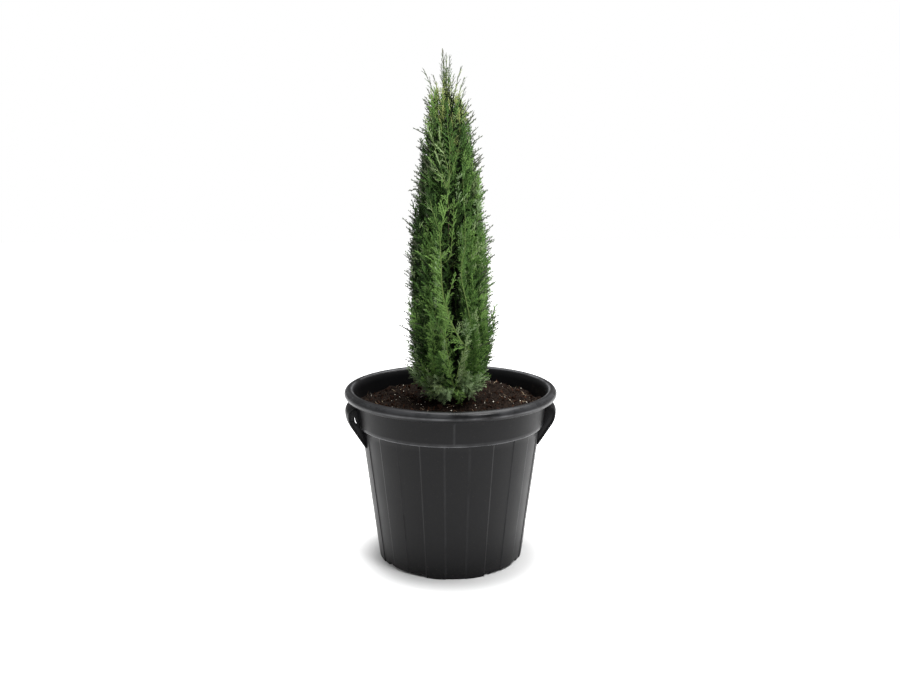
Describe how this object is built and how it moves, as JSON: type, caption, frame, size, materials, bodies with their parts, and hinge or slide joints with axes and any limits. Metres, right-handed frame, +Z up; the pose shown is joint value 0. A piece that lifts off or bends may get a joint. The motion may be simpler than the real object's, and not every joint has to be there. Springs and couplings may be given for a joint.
{
  "type": "potted italian cypress",
  "caption": "Slim upright conifer with dense scale-leaved plumes, growing in a round black fluted pot with ear handles and a rolled rim.",
  "frame": {"origin": "centre of the pot's foot, on the ground", "axes": "+Z up the trunk, -Y towards the viewer in the picture, +X towards the right-hand handle"},
  "size_m": [0.4, 0.4, 0.9386],
  "materials": {
    "black_plastic": "black moulded plastic with a fine satin grain",
    "potting_soil": "crumbly dark potting soil, stood in for by wood",
    "bark": "thin fibrous brown bark",
    "cypress_leaf": "soft green scale leaves, stood in for by fabric"
  },
  "bodies": {
    "root": {"bough_1_1": "bark", "bough_1_2": "bark", "bough_1_3": "bark", "bough_1_4": "bark", "bough_1_5": "bark", "bough_2_1": "bark", "bough_2_2": "bark", "bough_2_3": "bark", "bough_2_4": "bark", "bough_2_5": "bark", "bough_3_1": "bark", "bough_3_2": "bark", "bough_3_3": "bark", "bough_3_4": "bark", "bough_4_1": "bark", "bough_4_2": "bark", "bough_4_3": "bark", "bough_4_4": "bark", "foliage_1_1": "cypress_leaf", "foliage_1_2": "cypress_leaf", "foliage_1_3": "cypress_leaf", "foliage_1_4": "cypress_leaf", "foliage_1_5": "cypress_leaf", "foliage_2_1": "cypress_leaf", "foliage_2_2": "cypress_leaf", "foliage_2_3": "cypress_leaf", "foliage_2_4": "cypress_leaf", "foliage_2_5": "cypress_leaf", "foliage_3_1": "cypress_leaf", "foliage_3_2": "cypress_leaf", "foliage_3_3": "cypress_leaf", "foliage_3_4": "cypress_leaf", "foliage_4_1": "cypress_leaf", "foliage_4_2": "cypress_leaf", "foliage_4_3": "cypress_leaf", "foliage_4_4": "cypress_leaf", "foliage_leader": "cypress_leaf", "handle_left": "black_plastic", "handle_right": "black_plastic", "pot": "black_plastic", "soil": "potting_soil", "trunk": "bark"}
  },
  "joints": []
}
